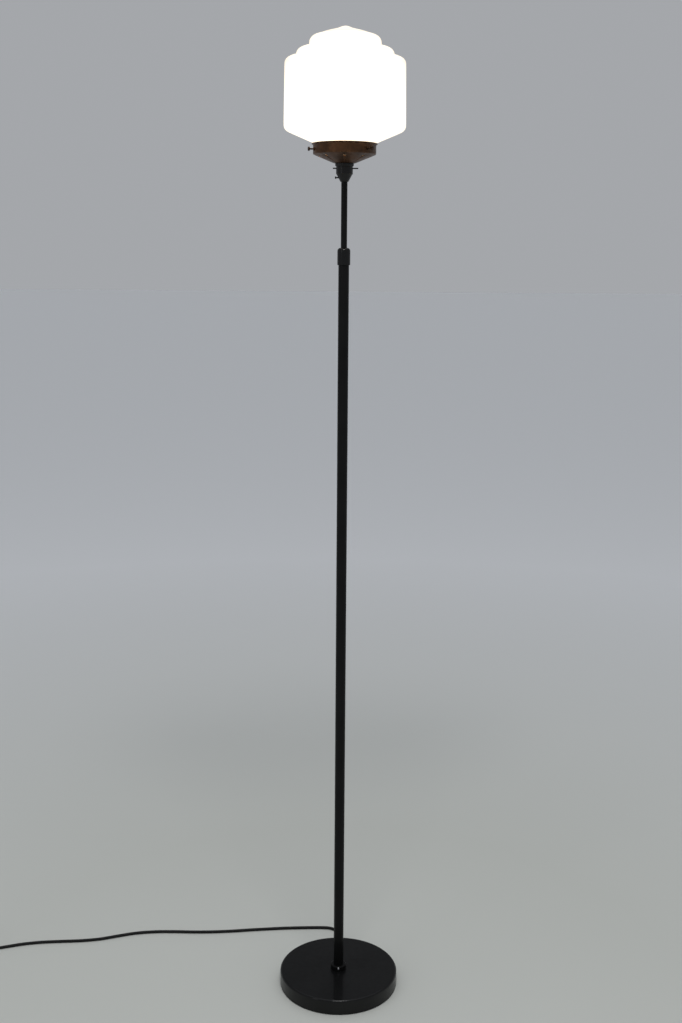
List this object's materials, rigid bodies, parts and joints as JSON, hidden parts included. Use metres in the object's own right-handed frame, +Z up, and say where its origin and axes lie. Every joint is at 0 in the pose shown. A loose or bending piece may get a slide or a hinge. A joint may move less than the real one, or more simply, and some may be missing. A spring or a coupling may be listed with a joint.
{
  "type": "floor lamp",
  "caption": "Floor lamp with a round weighted base, a telescoping pole with a clamping collar, a bayonet lampholder, a screw gallery and a stepped round opal glass shade on top.",
  "frame": {"origin": "centre of the round base on the floor", "axes": "+Z up along the pole; +X to the side the switch bar sticks out of; the cord leaves the base along +Y"},
  "size_m": [1.02, 0.3168, 1.7982],
  "materials": {
    "black_paint": "satin black powder coat",
    "black_brass": "black lacquer on brass, semi-gloss",
    "bronze": "dark bronze patina, semi-gloss",
    "cast_iron": "raw sand casting",
    "zinc": "zinc plated",
    "spring_steel": "drawn wire",
    "tin": "satin",
    "brass": "machined",
    "nylon": "natural nylon",
    "porcelain": "glazed",
    "opal_glass": "three-layer opal, gloss",
    "bulb_glass": "clear, gloss",
    "filament": "lit phosphor",
    "vitrite": "black glassy insulator",
    "foot_rubber": "matt",
    "cord_rubber": "matt, soft sheen",
    "plug_rubber": "moulded, satin",
    "wire_sleeve": "wire insulation"
  },
  "bodies": {
    "stand": {"base_cover": "black_paint", "base_weight": "cast_iron", "base_plate": "zinc", "plate_screws": "zinc", "base_feet": "foot_rubber", "base_nipple": "brass", "base_washer": "zinc", "earth_lug": "brass", "base_nut": "brass", "base_lead": "cord_rubber", "cord_relief": "cord_rubber", "pole_ferrule": "black_paint", "ferrule_screw": "zinc", "tube_plug": "brass", "lower_tube": "black_paint", "tube_bush": "nylon", "grip_collet": "nylon", "tube_lead": "cord_rubber", "power_cord": "cord_rubber", "cord_coil": "cord_rubber", "cord_tie": "cord_rubber", "plug_relief": "plug_rubber", "plug_body": "plug_rubber", "plug_pins": "brass"},
    "collar": {"clamp_collar": "black_paint"},
    "slider": {"mast_bush": "nylon"},
    "mast": {"mast_rod": "black_paint", "rod_stop": "brass", "bush_clip": "zinc", "mast_lead": "cord_rubber", "holder_cap": "black_brass", "holder_grub": "zinc", "holder_barrel": "black_brass", "holder_insulator": "porcelain", "bayonet_sleeve": "brass", "terminal_screws": "brass", "core_wires": "wire_sleeve", "holder_ring": "black_brass", "shade_ring": "black_brass", "gallery": "bronze", "gallery_bushes": "bronze", "shade_gasket": "foot_rubber", "spring_1": "spring_steel", "spring_2": "spring_steel"},
    "switch_bar": {"push_bar": "black_brass"},
    "contact_1": {"plunger_1": "brass"},
    "contact_2": {"plunger_2": "brass"},
    "screw_1": {"gallery_screw_1": "bronze"},
    "screw_2": {"gallery_screw_2": "bronze"},
    "screw_3": {"gallery_screw_3": "bronze"},
    "shade": {"glass_shade": "opal_glass"},
    "bulb": {"bulb_cap": "tin", "bulb_disc": "vitrite", "bulb_contacts": "tin", "bulb_glass": "bulb_glass", "bulb_stem": "bulb_glass", "bulb_filaments": "filament"}
  },
  "joints": [
    {"name": "height_slide", "type": "slide", "parent": "stand", "child": "slider", "axis": [0, 0, 1], "range_m": [-0.11, 0.32], "deforming": ["tube_lead"]},
    {"name": "mast_swivel", "type": "hinge", "parent": "slider", "child": "mast", "pos_m": [0, 0, 1.2], "axis": [0, 0, 1], "range_deg": [-170, 170]},
    {"name": "collar_twist", "type": "hinge", "parent": "stand", "child": "collar", "pos_m": [0, 0, 1.412], "axis": [0, 0, 1], "range_deg": [0, 180]},
    {"name": "switch_push", "type": "slide", "parent": "mast", "child": "switch_bar", "axis": [1, 0, 0], "range_m": [-0.004, 0]},
    {"name": "contact_1_press", "type": "slide", "parent": "mast", "child": "contact_1", "axis": [0, 0, 1], "range_m": [-0.002, 0], "stiffness_N_per_m": 400, "springref_m": 0.003, "deforming": ["spring_1"]},
    {"name": "contact_2_press", "type": "slide", "parent": "mast", "child": "contact_2", "axis": [0, 0, 1], "range_m": [-0.002, 0], "stiffness_N_per_m": 400, "springref_m": 0.003, "deforming": ["spring_2"]},
    {"name": "screw_1_out", "type": "slide", "parent": "mast", "child": "screw_1", "axis": [-0.9613, -0.2756, 0], "range_m": [0, 0.005]},
    {"name": "screw_2_out", "type": "slide", "parent": "mast", "child": "screw_2", "axis": [0.7193, -0.6947, 0], "range_m": [0, 0.005]},
    {"name": "screw_3_out", "type": "slide", "parent": "mast", "child": "screw_3", "axis": [0.2419, 0.9703, 0], "range_m": [0, 0.005]},
    {"name": "shade_lift", "type": "slide", "parent": "mast", "child": "shade", "axis": [0, 0, 1], "range_m": [0, 0.14]},
    {"name": "bulb_twist", "type": "hinge", "parent": "mast", "child": "bulb", "pos_m": [0, 0, 1.58], "axis": [0, 0, 1], "range_deg": [0, 20]}
  ]
}
